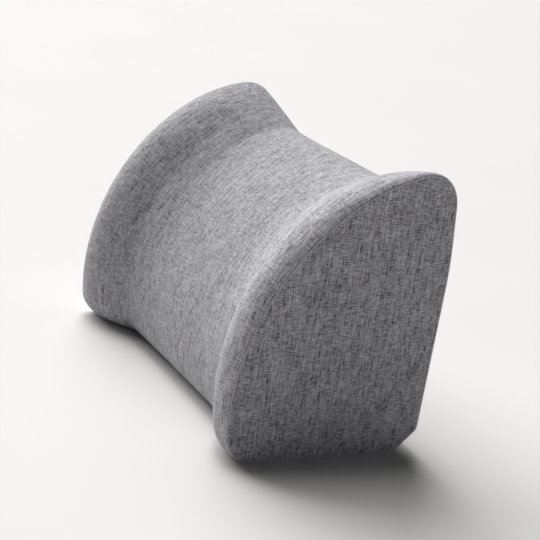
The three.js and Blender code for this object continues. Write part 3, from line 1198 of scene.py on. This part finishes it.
    def finished(self, patch: Patch, name: str) -> bpy.types.Object:
        """Gives a panel its cloth thickness and turns its faces outwards.

        Args:
            patch: The panel's grid.
            name: Name of the piece.

        Returns:
            The panel as a closed piece of cloth.
        """
        made = patch.mesh(name)
        recalculate(made)
        self.face_out(made)
        thick = made.modifiers.new("cloth thickness", "SOLIDIFY")
        thick.thickness = self.cloth
        thick.offset = -1
        apply_modifiers(made)
        smooth(made)
        return made

    def build(self) -> None:
        """Builds, dresses and mounts the six panels."""
        # lit and shaded copies of one cloth: the front's copy is the lit one, with the weaker yarn
        # contrast. The flat panels' copy is painted shade: darker (tone 0.47 against 0.53) and with
        # the stronger yarn contrast. It stands for the shaded end panels, and the back panels share
        # it.
        lit_copy = LinenLookCloth("linen-look cloth, stretched front", Weave.STRETCHED)
        flat = LinenLookCloth("linen-look cloth, flat panels", Weave.PANEL, shift=5.0, tone=0.47)
        # the base is of the same weave in dark yarn, which hides dirt under the grip dots
        dark = LinenLookCloth(
            "dark woven base", Weave.STRETCHED, "#222225", "#48484c", "#6c6c71", shift=9.0
        )
        for patch, node_name, cloth in (
            (self.roll_strip(self.front(), self.front_swell), "cover_front", lit_copy),
            (self.roll_strip(self.back_upper(), self.back_swell), "cover_back_upper", flat),
            (self.roll_strip(self.back_lower(), self.back_swell), "cover_back_lower", flat),
            (self.roll_strip(self.base()), "cover_base", dark),
            (self.end(-1), "cover_end_left", flat),
            (self.end(1), "cover_end_right", flat),
        ):
            piece = self.finished(patch, node_name.replace("cover", "cloth"))
            dress(piece, cloth)
            slot = "base_fabric" if patch.name == "base" else "woven_cover"
            mount(piece, BODY, slot, node_name)

    def face_out(self, piece: bpy.types.Object) -> None:
        """Flips a panel whose faces point into the cushion.

        Args:
            piece: The panel, all its faces turned the same way.
        """
        data = piece.data
        count = len(data.polygons)
        centres = np.zeros(count * 3)
        normals = np.zeros(count * 3)
        data.polygons.foreach_get("center", centres)
        data.polygons.foreach_get("normal", normals)
        inside = np.array([0.0, 0.0, self.form.height / 2])
        facing = ((centres.reshape(-1, 3) - inside) * normals.reshape(-1, 3)).sum()
        if facing < 0:
            data.flip_normals()


@dataclass
class SeamThread:
    """The lockstitch round each end panel, which shows as a fine pale line down in the seam."""

    finish: PlainFinish
    form: CushionForm
    radius: float = 0.45 * MM
    depth: float = 0.45 * MM
    inset: float = 0.6 * MM
    stitch: float = 3.2 * MM
    steps: int = 8
    pinched: float = 0.65

    def build(self) -> None:
        """Builds the left and the right thread."""
        for side, name in ((-1, "left"), (1, "right")):
            made = self.tube(side).mesh(f"seam_stitches_end_{name}")
            recalculate(made)
            smooth(made)
            dress(made, self.finish)
            mount(made, BODY, "thread", f"seam_thread_end_{name}")

    def tube(self, side: float) -> Patch:
        """The thread as a closed tube that is pinched between its stitches.

        Args:
            side: +1 for the right end and -1 for the left.

        Returns:
            The tube's grid.
        """
        around = self.form.ring(1)[2][-1]
        count = self.steps * round(around / self.stitch)
        ring, outward, _ = self.form.ring(count)
        phase = np.arange(count + 1) * math.pi / self.steps
        thick = self.radius * (self.pinched + (1 - self.pinched) * np.abs(np.sin(phase)))
        angles = np.linspace(0, 2 * math.pi, self.steps + 1)
        flat = ring - outward * self.inset
        rows = []
        for angle in angles:
            x = side * (self.form.width / 2 - self.depth + thick * math.cos(angle))
            rows.append(self.form.place(x, flat + outward * (thick * math.sin(angle))[:, None]))
        points = np.array(rows)
        pattern = np.broadcast_to(flat, (*points.shape[:2], 2))
        return Patch("seam thread", points, pattern, wraps=True)


# ---------------------------------------------------------------------------------------------
# Zip, stitching and label
# ---------------------------------------------------------------------------------------------
def slab(name: str, low: Vector, high: Vector, bevel: float = 0.0) -> bpy.types.Object:
    """A block between two corners with rounded edges.

    Args:
        name: Name of the block.
        low: Lowest corner.
        high: Highest corner.
        bevel: Radius of its edges, or 0.

    Returns:
        The block, its place already in its mesh.
    """
    deselect()
    bpy.ops.mesh.primitive_cube_add(size=1, location=(low + high) / 2, scale=high - low)
    made = bpy.context.object
    made.name = name
    settle(made)
    if bevel:
        rounded = made.modifiers.new("rounded edges", "BEVEL")
        rounded.width = bevel
        rounded.segments = 3
        rounded.limit_method = "NONE"
        apply_modifiers(made)
    return made


def repeat(piece: bpy.types.Object, count: int, step: float) -> None:
    """Repeats a piece along X.

    Args:
        piece: The piece to repeat.
        count: How many there are in all.
        step: Distance from one to the next.
    """
    rows = piece.modifiers.new("repeat", "ARRAY")
    rows.count = count
    rows.use_relative_offset = False
    rows.use_constant_offset = True
    rows.constant_offset_displace = (step, 0, 0)
    apply_modifiers(piece)


def cut(piece: bpy.types.Object, cutter: bpy.types.Object) -> None:
    """Cuts one solid out of another and removes the cutter.

    Args:
        piece: The solid that is cut.
        cutter: The solid that is cut out of it.
    """
    hole = piece.modifiers.new("cut", "BOOLEAN")
    hole.operation = "DIFFERENCE"
    hole.object = cutter
    hole.solver = "EXACT"
    apply_modifiers(piece)
    bpy.data.objects.remove(cutter, do_unlink=True)


@dataclass(frozen=True)
class Finishes:
    """The finishes of the small parts, shared between them."""

    # woven polyester zip tape: a dull grey with fine ribs along its length
    tape: PlainFinish = PlainFinish(
        "woven polyester zip tape", "#7b7a7e", "#5f5e62", 0.5 * MM, 0.9,
        relief=0.08 * MM, stretch=(0.12, 1, 1), sheen=0.15,
    )
    # drawn nylon monofilament, dyed grey: smooth and a little glossy
    coil: PlainFinish = PlainFinish(
        "drawn nylon coil", "#6f6e73", "#66656a", 0.4 * MM, 0.38, ior=1.53
    )
    # die-cast zinc under satin nickel: soft mirror with faint tumbling marks
    metal: PlainFinish = PlainFinish(
        "satin nickel on die-cast zinc", "#b9b8b6", "#a3a2a1", 0.25 * MM, 0.32,
        metallic=1.0, relief=0.006 * MM,
    )
    # spun polyester sewing thread: matt grey with a fine twist
    thread: PlainFinish = PlainFinish(
        "spun polyester thread", "#8b8a8f", "#6a696d", 0.22 * MM, 0.75,
        relief=0.05 * MM, stretch=(1, 0.5, 0.5), sheen=0.2,
    )
    # the same thread in pale grey, drawn tight down in the end seams
    seam: PlainFinish = PlainFinish(
        "pale polyester seam thread", "#dddce1", "#bfbec3", 0.3 * MM, 0.7, sheen=0.2
    )
    # woven satin ribbon: off-white, smooth, with a soft gloss
    label: PlainFinish = PlainFinish(
        "woven satin label", "#e9e7e1", "#dcdad3", 0.3 * MM, 0.45,
        relief=0.02 * MM, stretch=(1, 1, 0.2), sheen=0.3,
    )
    # grey ink screened on the ribbon: matt and slightly broken
    ink: PlainFinish = PlainFinish(
        "screen-printed grey ink", "#6d6c6e", "#8d8c8c", 0.3 * MM, 0.8
    )
    # dark silicone dots: smooth rubber with a soft highlight
    grip: PlainFinish = PlainFinish(
        "moulded silicone grip", "#3c3c3f", "#333336", 0.8 * MM, 0.5, ior=1.41
    )
    # open-cell polyurethane foam: cream, matt, pitted by its cells
    foam: PlainFinish = PlainFinish(
        "open-cell polyurethane foam", "#e6dfc9", "#cdc4a8", 1.2 * MM, 0.95, relief=0.4 * MM
    )
    # spun-bonded non-woven liner: white fibres pressed into a thin felt
    liner: PlainFinish = PlainFinish(
        "spun-bonded polypropylene liner", "#e8e8e6", "#d3d3d1", 0.9 * MM, 0.85,
        relief=0.1 * MM, sheen=0.2,
    )


@dataclass
class Zip:
    """A coil zip in a slot low on the back: tapes, interlocked coils, stops, slider and pull."""

    finishes: Finishes
    pitch: float = 1.25 * MM
    wire: float = 0.36 * MM
    stitch_pitch: float = 3.0 * MM
    stitch_length: float = 2.4 * MM
    stitch_radius: float = 0.3 * MM
    stitch_lift: float = 0.05 * MM
    tape_edge: float = 0.15 * MM
    coil_overlap: float = 0.2 * MM
    # width of a loop of radius 1 with its wire
    coil_reach: float = 2.45
    stop_edge: float = 0.35 * MM
    plate_top: float = 2.9 * MM
    plate_thickness: float = 1.2 * MM
    plate_taper: float = 0.72
    flange_thickness: float = 0.7 * MM
    flange_drop: float = 0.3 * MM
    flange_rear: float = 3.2 * MM
    flange_front: float = 0.8 * MM
    bridge_rear: float = 3.9 * MM
    bridge_front: float = 4.4 * MM
    bridge_half: float = 1.1 * MM
    bridge_bar: float = 1.0 * MM
    post: float = 1.1 * MM
    sunk: float = 0.1 * MM
    cast_edge: float = 0.32 * MM
    pull_taper: float = 0.94
    pull_corner: float = 2.6 * MM
    pull_edge: float = 0.22 * MM
    eye_from: float = 9.6 * MM
    eye_to: float = 1.6 * MM
    eye_half: float = 1.9 * MM
    grip_hole: float = 1.7 * MM
    grip_hole_from: float = 4.2 * MM

    def tapes(self) -> None:
        """The two tapes that carry the coils, as blocks with rounded edges; the cord woven into each
        inner edge is left out.
        """
        for half in ("upper", "lower"):
            low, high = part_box(f"zip_tape_{half}")
            tape = slab(f"zip_tape_woven_{half}", low, high, self.tape_edge)
            dress(tape, self.finishes.tape)
            smooth(tape, 40)
            mount(tape, BODY, "zip_tape", f"zip_tape_{half}")

    def coils(self) -> None:
        """The two rows of loops, set half a pitch apart so that their heads interlock."""
        for half, shift in (("upper", 0.0), ("lower", 0.5)):
            low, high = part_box(f"zip_coil_{half}")
            count = int((high.x - low.x) / self.pitch) - 1
            tall = (high.z - low.z) + self.coil_overlap
            thick = high.y - low.y
            centre = (low + high) / 2
            centre.z += self.coil_overlap / 2 * (-1 if half == "upper" else 1)
            centre.x = low.x + self.pitch * (0.5 + shift)
            deselect()
            bpy.ops.mesh.primitive_torus_add(
                location=centre,
                rotation=(0, math.pi / 2, 0),
                major_segments=18,
                minor_segments=6,
                major_radius=1.0,
                minor_radius=2 * self.wire / thick,
            )
            loop = bpy.context.object
            loop.scale = (tall / self.coil_reach, thick / self.coil_reach, thick / 2)
            loop.name = f"zip_coil_loops_{half}"
            settle(loop)
            repeat(loop, count, self.pitch)
            dress(loop, self.finishes.coil)
            smooth(loop)
            mount(loop, BODY, "zip_coil", f"zip_coil_{half}")

    def stops(self) -> None:
        """The crimped metal stops at the ends of the coils."""
        for stop in ("zip_top_stop_upper", "zip_top_stop_lower", "zip_bottom_stop"):
            low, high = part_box(stop)
            made = slab(stop.replace("stop", "stop_crimp"), low, high, self.stop_edge)
            dress(made, self.finishes.metal)
            smooth(made, 50)
            mount(made, BODY, "zip_metal", stop)

    def topstitches(self) -> None:
        """A row of stitches above and below the slot, each stitch sunk at both ends."""
        for half in ("upper", "lower"):
            low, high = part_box(f"zip_topstitch_{half}")
            count = int((high.x - low.x) / self.stitch_pitch)
            centre = (low + high) / 2
            centre.x = low.x + self.stitch_pitch / 2
            centre.y = low.y + self.stitch_lift
            deselect()
            bpy.ops.mesh.primitive_uv_sphere_add(
                segments=10,
                ring_count=8,
                location=centre,
                rotation=(0, math.pi / 2, 0),
                scale=(self.stitch_radius, self.stitch_radius, self.stitch_length / 2),
            )
            row = bpy.context.object
            row.name = f"zip_stitches_{half}"
            settle(row)
            repeat(row, count, self.stitch_pitch)
            dress(row, self.finishes.thread)
            smooth(row)
            mount(row, BODY, "thread", f"zip_topstitch_{half}")

    def slider(self) -> None:
        """The slider: a shield-shaped plate, its flanges and the bridge that holds the pull."""
        low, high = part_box("zip_slider")
        middle = (low + high) / 2
        plate_y = low.y + self.plate_top
        plate = slab(
            "zip_slider_cast",
            Vector((low.x, plate_y - self.plate_thickness, low.z)),
            Vector((high.x, plate_y, high.z)),
        )
        for vertex in plate.data.vertices:
            if vertex.co.x < middle.x:
                vertex.co.z = middle.z + (vertex.co.z - middle.z) * self.plate_taper
        parts = [plate]
        half = self.flange_thickness / 2
        for z in (low.z + half, high.z - half):
            start = Vector((low.x + self.flange_rear, low.y + self.flange_drop, z - half))
            flange_y = plate_y - self.plate_thickness + self.sunk
            end = Vector((high.x - self.flange_front, flange_y, z + half))
            parts.append(slab("flange", start, end))
        rear, front = middle.x - self.bridge_rear, middle.x + self.bridge_front
        down, up = middle.z - self.bridge_half, middle.z + self.bridge_half
        for x in (rear, front - self.post):
            start = Vector((x, plate_y - self.sunk, down))
            end = Vector((x + self.post, high.y - self.sunk, up))
            parts.append(slab("post", start, end))
        start = Vector((rear, high.y - self.bridge_bar, down))
        parts.append(slab("bar", start, Vector((front, high.y, up))))
        for part in parts:
            rounded = part.modifiers.new("cast edges", "BEVEL")
            rounded.width = self.cast_edge
            rounded.segments = 3
            rounded.limit_method = "NONE"
            apply_modifiers(part)
        slider = join("zip_slider_cast", parts)
        dress(slider, self.finishes.metal)
        smooth(slider, 40)
        mount(slider, "slider", "zip_metal", "zip_slider")

    def pull(self) -> None:
        """The pull: a flat tab with rounded ends, an eye over the bridge and a grip hole."""
        low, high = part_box("zip_pull")
        middle = (low + high) / 2
        through = 1 * MM
        made = slab("zip_pull_tab", low, high)
        for vertex in made.data.vertices:
            if vertex.co.x > middle.x:
                vertex.co.z = middle.z + (vertex.co.z - middle.z) * self.pull_taper
        weights = made.data.attributes.new("bevel_weight_edge", "FLOAT", "EDGE")
        for edge in made.data.edges:
            first, second = (made.data.vertices[i].co for i in edge.vertices)
            runs_through = abs(first.y - second.y) > abs(high.y - low.y) / 2
            weights.data[edge.index].value = float(runs_through)
        corners = made.modifiers.new("round ends", "BEVEL")
        corners.limit_method = "WEIGHT"
        corners.width = self.pull_corner
        corners.segments = 6
        apply_modifiers(made)
        eye = slab(
            "eye",
            Vector((high.x - self.eye_from, low.y - through, middle.z - self.eye_half)),
            Vector((high.x - self.eye_to, high.y + through, middle.z + self.eye_half)),
        )
        cut(made, eye)
        deselect()
        bpy.ops.mesh.primitive_cylinder_add(
            vertices=32,
            radius=self.grip_hole,
            depth=6 * through,
            location=(low.x + self.grip_hole_from, middle.y, middle.z),
            rotation=(math.pi / 2, 0, 0),
        )
        cut(made, bpy.context.object)
        edges = made.modifiers.new("tumbled edges", "BEVEL")
        edges.width = self.pull_edge
        edges.segments = 2
        edges.limit_method = "ANGLE"
        edges.angle_limit = math.radians(50)
        apply_modifiers(made)
        dress(made, self.finishes.metal)
        smooth(made, 40)
        mount(made, "pull", "zip_metal", "zip_pull")

    def build(self) -> None:
        """Builds the whole zip."""
        self.tapes()
        self.coils()
        self.stops()
        self.topstitches()
        self.slider()
        self.pull()


@dataclass
class CareLabel:
    """A folded satin ribbon sewn on above the zip, blank but for a few printed bars."""

    finishes: Finishes
    lift: float
    ribbon: float = 0.22 * MM
    clear: float = 0.1 * MM
    sag: float = 0.35 * MM
    hem_flare: float = 1.2 * MM
    hem_share: float = 0.55
    curl: float = 0.5 * MM
    ink: float = 0.03 * MM
    bar_margin: float = 3 * MM
    bar_height: float = 1.1 * MM
    bar_pitch: float = 3.2 * MM
    first_bar: float = 9 * MM
    stitch_pitch: float = 2.6 * MM
    stitch_inset: float = 2 * MM
    stitch_radius: float = 0.28 * MM

    def build(self) -> None:
        """Builds the ribbon, its row of stitches and its printed bars."""
        low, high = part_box("care_label")
        low.y += self.lift
        deselect()
        bpy.ops.mesh.primitive_grid_add(x_subdivisions=12, y_subdivisions=26, size=1)
        ribbon = bpy.context.object
        ribbon.name = "care_label_ribbon"
        width, tall = high.x - low.x, high.z - low.z
        for vertex in ribbon.data.vertices:
            across, up = vertex.co.x, vertex.co.y + 0.5
            sag = self.sag * math.sin(math.pi * up)
            flare = self.hem_flare * max(0.0, self.hem_share - up) ** 2
            curl = self.curl * (2 * across) ** 2 * (1 - up)
            vertex.co = (
                (low.x + high.x) / 2 + across * width,
                low.y + self.clear + sag + flare + curl,
                low.z + up * tall,
            )
        recalculate(ribbon)
        thick = ribbon.modifiers.new("ribbon thickness", "SOLIDIFY")
        thick.thickness = self.ribbon
        thick.offset = 1
        apply_modifiers(ribbon)
        dress(ribbon, self.finishes.label)
        smooth(ribbon, 60)
        mount(ribbon, BODY, "label", "care_label")
        self.bars(low, high)
        self.stitches(low, high)

    def bars(self, low: Vector, high: Vector) -> None:
        """Short printed bars where a real label has its washing advice.

        Args:
            low: Lowest corner of the label.
            high: Highest corner of the label.
        """
        bars = []
        for row, share in enumerate((0.9, 0.75, 0.82, 0.6, 0.7)):
            z = high.z - self.first_bar - self.bar_pitch * row
            left = low.x + self.bar_margin
            right = left + (high.x - low.x - 2 * self.bar_margin) * share
            up = (z - low.z) / (high.z - low.z)
            y = low.y + self.clear + self.sag * math.sin(math.pi * up)
            far = Vector((right, y + self.ribbon + self.ink, z + self.bar_height))
            bars.append(slab("bar", Vector((left, y, z)), far))
        made = join("care_label_print", bars)
        dress(made, self.finishes.ink)
        mount(made, BODY, "label")

    def stitches(self, low: Vector, high: Vector) -> None:
        """The row of stitches that holds the ribbon's upper edge.

        Args:
            low: Lowest corner of the label.
            high: Highest corner of the label.
        """
        inset = self.stitch_inset
        count = int((high.x - low.x - inset) / self.stitch_pitch)
        deselect()
        bpy.ops.mesh.primitive_uv_sphere_add(
            segments=10,
            ring_count=8,
            location=(low.x + inset, low.y + self.clear + self.ribbon, high.z - inset),
            rotation=(0, math.pi / 2, 0),
            scale=(self.stitch_radius, self.stitch_radius, 1.0 * MM),
        )
        row = bpy.context.object
        row.name = "care_label_stitches"
        settle(row)
        repeat(row, count, self.stitch_pitch)
        dress(row, self.finishes.thread)
        smooth(row)
        mount(row, BODY, "thread")


@dataclass
class GripDots:
    """Silicone dots in a hexagonal pattern on the base."""

    finishes: Finishes
    form: CushionForm
    lift: float
    pitch: float = 12 * MM
    radius: float = 1.6 * MM
    margin: float = 9 * MM
    above_floor: float = 0.98

    def build(self) -> None:
        """Builds the rows of dots that fit inside the base."""
        rows = []
        row_pitch = self.pitch * math.sqrt(0.75)
        rear = -self.form.heel - self.margin
        depth = self.form.base_depth - self.form.front_round
        count = int((depth + rear - self.form.front.saddle) / row_pitch)
        across = int((self.form.width / 2 - self.margin) / self.pitch)
        for index in range(count):
            y = rear - index * row_pitch + self.form.back_y
            shift = self.pitch / 2 * (index % 2)
            deselect()
            bpy.ops.mesh.primitive_uv_sphere_add(
                segments=12,
                ring_count=8,
                location=(-across * self.pitch + shift, y, self.lift),
                scale=(self.radius, self.radius, self.lift * self.above_floor),
            )
            row = bpy.context.object
            settle(row)
            repeat(row, 2 * across + 1 - index % 2, self.pitch)
            rows.append(row)
        dots = join("base_grip_dots", rows)
        dress(dots, self.finishes.grip)
        smooth(dots)
        mount(dots, BODY, "base_fabric")


def dress_inner(finishes: Finishes) -> None:
    """Gives the CAD pieces that still show their own finishes.

    Args:
        finishes: The finishes of the small parts.
    """
    for name, piece in frame["nodes"].items():
        if piece.hide_render:
            continue
        if name == "foam_core":
            dress(piece, finishes.foam)
        elif name == "inner_liner":
            dress(piece, finishes.liner)
        else:
            dress(piece, finishes.thread)


# ---------------------------------------------------------------------------------------------
# Stage
# ---------------------------------------------------------------------------------------------
@dataclass(frozen=True)
class SoftLight:
    """A distant light that looks as wide as a softbox of the given angle."""

    name: str
    toward: tuple[float, float, float]
    power: float
    angle: float

    def build(self) -> None:
        """Adds the light to the scene."""
        lamp = bpy.data.lights.new(self.name, "SUN")
        lamp.energy = self.power
        lamp.angle = math.radians(self.angle)
        made = bpy.data.objects.new(self.name, lamp)
        bpy.context.scene.collection.objects.link(made)
        made.rotation_euler = Vector(self.toward).to_track_quat("Z", "Y").to_euler()


@dataclass(frozen=True)
class Studio:
    """A pale floor, broad soft lights from the left and above, and the camera."""

    azimuth: float = 60.05
    elevation: float = 17.04
    roll: float = 9.6
    distance: float = 1.4534
    lens: float = 90.06
    aim: tuple[float, float, float] = (-0.0002, 0.0266, 0.1219)
    sky: float = 0.03
    lights: tuple[SoftLight, ...] = (
        SoftLight("left softbox", (-0.78, -0.04, 0.62), 4.5, 60.0),
        SoftLight("low left softbox", (-0.92, -0.30, 0.16), 0.75, 40.0),
        SoftLight("top softbox", (-0.25, 0.0, 0.97), 1.1, 20.0),
        SoftLight("right fill", (0.97, -0.15, 0.10), 0.28, 40.0),
    )

    def camera(self) -> None:
        """Places the camera at its azimuth, elevation and roll about the aim point."""
        azimuth, elevation = math.radians(self.azimuth), math.radians(self.elevation)
        back = Vector(
            (
                math.sin(azimuth) * math.cos(elevation),
                -math.cos(azimuth) * math.cos(elevation),
                math.sin(elevation),
            )
        )
        made = bpy.data.objects.new("camera", bpy.data.cameras.new("camera"))
        bpy.context.scene.collection.objects.link(made)
        turned = back.to_track_quat("Z", "Y").to_matrix()
        turned = turned @ Matrix.Rotation(math.radians(self.roll), 3, "Z")
        made.matrix_world = Matrix.Translation(Vector(self.aim) + back * self.distance) @ (
            turned.to_4x4()
        )
        made.data.lens = self.lens
        made.data.sensor_width = 36
        made.data.clip_start, made.data.clip_end = 0.05, 100
        bpy.context.scene.camera = made

    def light(self) -> None:
        """The soft lights and an even dim sky."""
        for light in self.lights:
            light.build()
        world = bpy.data.worlds.new("studio")
        world.use_nodes = True
        background = world.node_tree.nodes["Background"]
        background.inputs["Color"].default_value = (0.96, 0.97, 1.0, 1.0)
        background.inputs["Strength"].default_value = self.sky
        bpy.context.scene.world = world
        bpy.context.scene.view_settings.view_transform = "Standard"

    def floor(self) -> None:
        """A wide pale matt floor under the cushion."""
        deselect()
        bpy.ops.mesh.primitive_circle_add(vertices=96, radius=60, fill_type="NGON")
        made = bpy.context.object
        made.name = "studio_floor"
        finish = PlainFinish("painted studio floor", "#d4d3d1", "#d2d1cf", 0.5, 0.85)
        dress(made, finish)

    def build(self) -> None:
        """Builds the whole stage."""
        self.camera()
        self.light()
        self.floor()


def main() -> None:
    """Builds the stage, the cover, its threads, the zip, the label and the grip in order."""
    logging.basicConfig(level=logging.INFO, format="%(name)s: %(message)s")
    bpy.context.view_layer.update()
    _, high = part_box("cover_end_right")
    form = CushionForm(width=2 * high.x, back_y=high.y)
    half_gap = 0.15 * MM
    past_stop = 3 * MM
    zip_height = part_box("zip_coil_upper")[0].z - half_gap
    zip_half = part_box("zip_top_stop_upper")[1].x + past_stop
    Studio().build()
    cover = Cover(form, SeamRoll(), zip_height, zip_half, slot_half=5.5 * MM)
    cover.build()
    finishes = Finishes()
    SeamThread(finishes.seam, form).build()
    Zip(finishes).build()
    CareLabel(finishes, cover.back_swell).build()
    GripDots(finishes, form, cover.base_lift).build()
    dress_inner(finishes)


if __name__ == "__main__":
    main()
